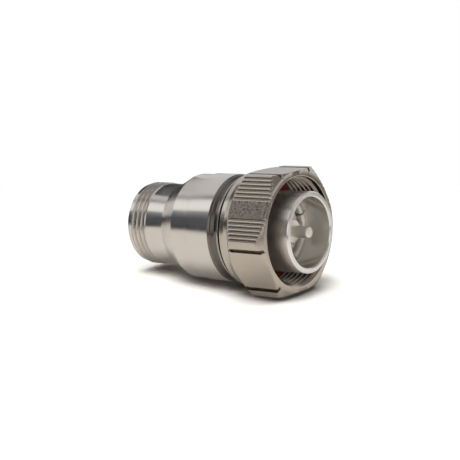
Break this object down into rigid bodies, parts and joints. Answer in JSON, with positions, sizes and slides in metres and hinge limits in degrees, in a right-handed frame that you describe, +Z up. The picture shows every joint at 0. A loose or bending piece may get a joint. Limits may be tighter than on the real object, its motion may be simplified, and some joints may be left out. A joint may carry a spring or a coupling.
{
  "type": "coaxial adapter connector",
  "caption": "Coaxial adapter lying on its side: a threaded jack and stepped round body at the rear, a plug with sleeve, pin and free-spinning six-sided nut in front.",
  "frame": {"origin": "on the adapter's axis, at the centre of the rear jack's front face", "axes": "+X level, towards the plug; +Z up. The adapter lies at rest on its side, so its axis leans up from +X by 4.76 degrees towards the plug"},
  "size_m": [0.0384, 0.0252, 0.0226],
  "materials": {
    "body_plate": "satin white-bronze plate over turned brass",
    "plug_plate": "bright white-bronze plate over turned brass",
    "nut_plate": "bright nickel plate over machined brass",
    "spring_steel": "hard drawn spring steel",
    "gasket_rubber": "matt dark red silicone",
    "contact_plate": "silver plate over spring bronze",
    "pin_plate": "silver plate over brass",
    "gold_contact": "gold plate over spring bronze",
    "insulator_plastic": "white fluoropolymer, turned"
  },
  "bodies": {
    "adapter": {"rear_body": "body_plate", "front_body": "plug_plate", "retaining_ring": "spring_steel", "interface_gasket": "gasket_rubber", "outer_contact": "contact_plate", "centre_pin": "pin_plate", "centre_socket": "gold_contact", "front_insulator": "insulator_plastic", "rear_insulator": "insulator_plastic"},
    "nut": {"coupling_nut": "nut_plate"}
  },
  "joints": [
    {"name": "nut_spin", "type": "hinge", "parent": "adapter", "child": "nut", "pos_m": [0.02511, 0, 0.00209], "axis": [0.9965, 0, 0.0831], "continuous": true}
  ]
}
